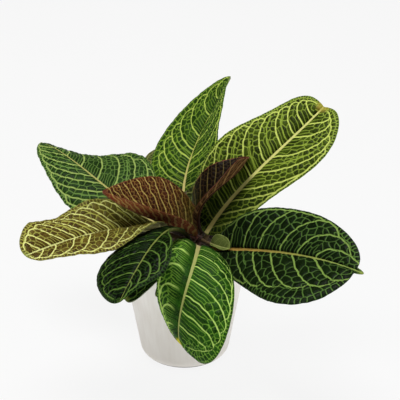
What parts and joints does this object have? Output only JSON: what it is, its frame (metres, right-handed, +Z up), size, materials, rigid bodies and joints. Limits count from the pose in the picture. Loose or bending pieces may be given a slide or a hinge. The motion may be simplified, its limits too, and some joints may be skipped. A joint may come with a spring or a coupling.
{
  "type": "potted labisia",
  "caption": "Potted foliage plant with broad quilted leaves, a net of pale veins, two folded burgundy young leaves and a plain tapered pot.",
  "frame": {"origin": "centre of the pot's flat foot, on the surface that it stands on", "axes": "+Z up along the pot's axis, the plant's front faces -Y, +X to the right of someone facing the front"},
  "size_m": [0.2845, 0.2915, 0.2329],
  "materials": {
    "pot": "smooth satin off-white",
    "soil": "rough dark crumbly potting mix of bark and peat",
    "stem": "rough scarred bark, reddish brown",
    "leaf_green": "quilted leaf, satin, pale yellow-green veins",
    "leaf_yellow_green": "quilted leaf, satin, yellow-green veins and a broad pale midrib",
    "leaf_dark": "quilted leaf, satin, very dark green between pale veins",
    "leaf_olive": "quilted leaf, satin, olive and brown between yellow veins",
    "leaf_burgundy": "young leaf, satin, burgundy between light yellow veins"
  },
  "bodies": {
    "root": {"pot": "pot", "soil": "soil", "stem": "stem", "leaf_upper_left": "leaf_green", "leaf_top": "leaf_green", "leaf_upper_right": "leaf_yellow_green", "leaf_right": "leaf_dark", "leaf_front": "leaf_green", "leaf_lower_left": "leaf_dark", "leaf_under_lower_left": "leaf_dark", "leaf_left": "leaf_olive", "leaf_young_left": "leaf_burgundy", "leaf_young_right": "leaf_burgundy", "leaf_bud": "leaf_yellow_green", "leaf_back": "leaf_olive", "leaf_small_front": "leaf_dark"}
  },
  "joints": []
}
